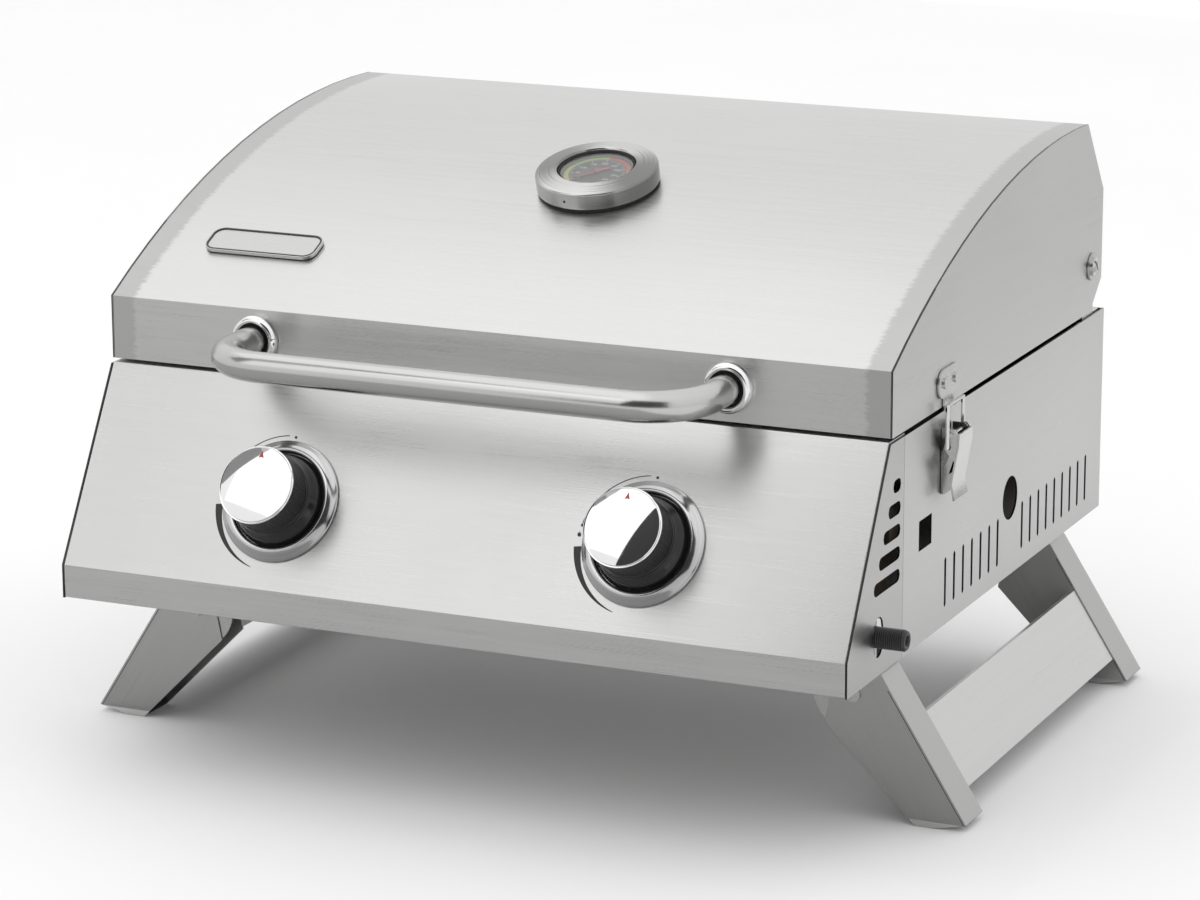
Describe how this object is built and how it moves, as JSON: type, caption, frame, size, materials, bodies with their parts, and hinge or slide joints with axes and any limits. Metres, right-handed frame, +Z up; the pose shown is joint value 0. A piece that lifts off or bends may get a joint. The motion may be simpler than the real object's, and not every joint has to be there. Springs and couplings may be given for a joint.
{
  "type": "portable tabletop gas grill",
  "caption": "Portable tabletop gas grill: hinged curved lid with bar handle and dial thermometer, push-and-turn knobs, toggle latches, folding legs and a slide-out drip tray.",
  "frame": {"origin": "middle of the whole closed grill's footprint, on the table under its feet", "axes": "+X to the right as seen from the front, +Y to the back, +Z up"},
  "size_m": [0.5956, 0.4897, 0.3735],
  "materials": {
    "lid_steel": "stainless steel, brushed along the width",
    "body_steel": "stainless steel, brushed along the width",
    "leg_steel": "stainless steel, brushed along each strip",
    "tray_steel": "stainless steel, brushed",
    "handle_steel": "satin stainless tube",
    "gauge_steel": "turned, satin",
    "dark_steel": "heat-darkened mill finish",
    "chrome": "polished",
    "zinc": "bright zinc or nickel plate",
    "brass": "machined",
    "enamel": "black porcelain enamel",
    "black_metal": "blackened thread",
    "badge_metal": "satin field inside a dark raised border",
    "knob_black": "finely knurled grip",
    "ceramic": null,
    "rubber": "matt gasket",
    "dial_paint": "dark dial with a green to red ring",
    "needle_red": "red lacquer",
    "glass": "clear flat lens"
  },
  "bodies": {
    "base": {"back_panel": "body_steel", "burner_left": "dark_steel", "burner_right": "dark_steel", "cheek_left": "body_steel", "cheek_right": "body_steel", "control_panel": "body_steel", "cooking_grate": "enamel", "electrode_left": "ceramic", "electrode_right": "ceramic", "fire_box": "dark_steel", "flame_tamer": "dark_steel", "gas_inlet": "black_metal", "gas_manifold": "zinc", "hinge_bolt_left": "zinc", "hinge_bolt_right": "zinc", "hinge_bracket_left": "zinc", "hinge_bracket_right": "zinc", "knob_bezel_left": "chrome", "knob_bezel_right": "chrome", "latch_base_left": "zinc", "latch_base_right": "zinc", "leg_bracket_left": "zinc", "leg_bracket_right": "zinc", "side_panel_left": "body_steel", "side_panel_right": "body_steel", "tray_guide": "zinc", "valve_left": "brass", "valve_right": "brass"},
    "lid": {"lid_skin": "lid_steel", "lid_rear": "lid_steel", "lid_side_left": "lid_steel", "lid_side_right": "lid_steel", "handle": "handle_steel", "handle_ferrule_left": "chrome", "handle_ferrule_right": "chrome", "thermometer_housing": "gauge_steel", "thermometer_gasket": "rubber", "thermometer_dial": "dial_paint", "thermometer_glass": "glass", "badge": "badge_metal", "strike_left": "zinc", "strike_right": "zinc"},
    "needle": {"thermometer_needle": "needle_red"},
    "push_left": {"valve_collar_left": "brass"},
    "push_right": {"valve_collar_right": "brass"},
    "knob_left": {"knob_body_left": "knob_black", "knob_cap_left": "chrome"},
    "knob_right": {"knob_body_right": "knob_black", "knob_cap_right": "chrome"},
    "lever_left": {"latch_lever_left": "zinc"},
    "lever_right": {"latch_lever_right": "zinc"},
    "bail_left": {"latch_bail_left": "zinc"},
    "bail_right": {"latch_bail_right": "zinc"},
    "leg_frame_left": {"leg_front_left": "leg_steel", "leg_rear_left": "leg_steel", "leg_panel_left": "leg_steel"},
    "leg_frame_right": {"leg_front_right": "leg_steel", "leg_rear_right": "leg_steel", "leg_panel_right": "leg_steel"},
    "tray": {"drip_tray": "tray_steel"}
  },
  "joints": [
    {"name": "lid_hinge", "type": "hinge", "parent": "base", "child": "lid", "pos_m": [0, 0.2068, 0.277], "axis": [-1, 0, 0], "range_deg": [0, 90]},
    {"name": "needle_turn", "type": "hinge", "parent": "lid", "child": "needle", "pos_m": [0.006, -0.01204, 0.35825], "axis": [0, 0.2679, -0.9634], "range_deg": [0, 270], "stiffness_Nm_per_rad": 0.0005},
    {"name": "knob_left_push", "type": "slide", "parent": "base", "child": "push_left", "axis": [0, 0.8627, -0.5057], "range_m": [0, 0.003], "stiffness_N_per_m": 1500, "springref_m": -0.002},
    {"name": "knob_right_push", "type": "slide", "parent": "base", "child": "push_right", "axis": [0, 0.8627, -0.5057], "range_m": [0, 0.003], "stiffness_N_per_m": 1500, "springref_m": -0.002},
    {"name": "knob_left_turn", "type": "hinge", "parent": "push_left", "child": "knob_left", "pos_m": [-0.1205, -0.2014, 0.1779], "axis": [0, -0.8627, 0.5057], "range_deg": [0, 210]},
    {"name": "knob_right_turn", "type": "hinge", "parent": "push_right", "child": "knob_right", "pos_m": [0.1205, -0.2014, 0.1779], "axis": [0, -0.8627, 0.5057], "range_deg": [0, 210]},
    {"name": "latch_left", "type": "hinge", "parent": "base", "child": "lever_left", "pos_m": [-0.2668, -0.0676, 0.2304], "axis": [0, 1, 0], "range_deg": [0, 110]},
    {"name": "latch_right", "type": "hinge", "parent": "base", "child": "lever_right", "pos_m": [0.2668, -0.0676, 0.2304], "axis": [0, -1, 0], "range_deg": [0, 110]},
    {"name": "bail_left_swing", "type": "hinge", "parent": "lever_left", "child": "bail_left", "pos_m": [-0.2653, -0.0676, 0.2229], "axis": [0, 1, 0], "range_deg": [-110, 0]},
    {"name": "bail_right_swing", "type": "hinge", "parent": "lever_right", "child": "bail_right", "pos_m": [0.2653, -0.0676, 0.2229], "axis": [0, -1, 0], "range_deg": [-110, 0]},
    {"name": "legs_left_fold", "type": "hinge", "parent": "base", "child": "leg_frame_left", "pos_m": [-0.2245, -0.1268, 0.0779], "axis": [0, -1, 0], "range_deg": [0, 120]},
    {"name": "legs_right_fold", "type": "hinge", "parent": "base", "child": "leg_frame_right", "pos_m": [0.2245, -0.1268, 0.0779], "axis": [0, 1, 0], "range_deg": [0, 120]},
    {"name": "tray_slide", "type": "slide", "parent": "base", "child": "tray", "axis": [0, 1, 0], "range_m": [0, 0.3]}
  ],
  "couplings": [
    {"joint": "bail_left_swing", "follows": "latch_left", "ratio": -1},
    {"joint": "bail_right_swing", "follows": "latch_right", "ratio": -1}
  ]
}
